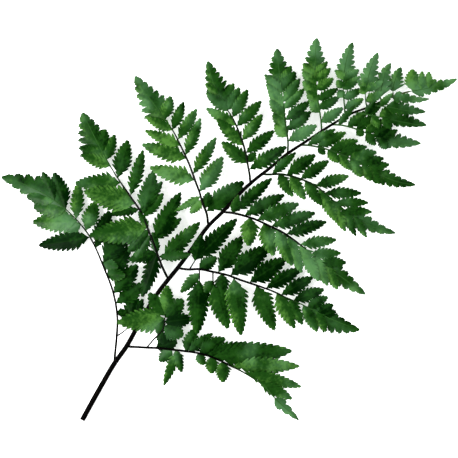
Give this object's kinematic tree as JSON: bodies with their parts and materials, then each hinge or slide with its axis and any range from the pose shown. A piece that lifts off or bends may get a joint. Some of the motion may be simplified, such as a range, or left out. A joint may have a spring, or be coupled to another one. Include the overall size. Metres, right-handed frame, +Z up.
{
  "type": "fern frond",
  "caption": "Cut fern frond with a dark stem and toothed, twice divided green leaflets, lying on its leaflet tips.",
  "frame": {"origin": "under the middle of the frond's box, on the surface that it lies on", "axes": "+X from the cut end of the stem to the tip of the frond, +Y to the frond's left, +Z up out of its upper face"},
  "size_m": [0.4318, 0.323, 0.034],
  "materials": {
    "stem": "smooth, nearly black stem, slightly glossy",
    "leaf": "leathery dark green leaflet, satin upper face"
  },
  "bodies": {
    "root": {"stipe_and_rachis": "stem", "pinna_left_01": "leaf", "pinna_left_02": "leaf", "pinna_left_03": "leaf", "pinna_left_04": "leaf", "pinna_left_05": "leaf", "pinna_left_06": "leaf", "pinna_left_07": "leaf", "pinna_left_08": "leaf", "pinna_left_09": "leaf", "pinna_left_10": "leaf", "pinna_right_01": "leaf", "pinna_right_02": "leaf", "pinna_right_03": "leaf", "pinna_right_04": "leaf", "pinna_right_05": "leaf", "pinna_right_06": "leaf", "pinna_right_07": "leaf", "pinna_right_08": "leaf", "pinna_right_09": "leaf", "frond_tip": "leaf"}
  },
  "joints": []
}
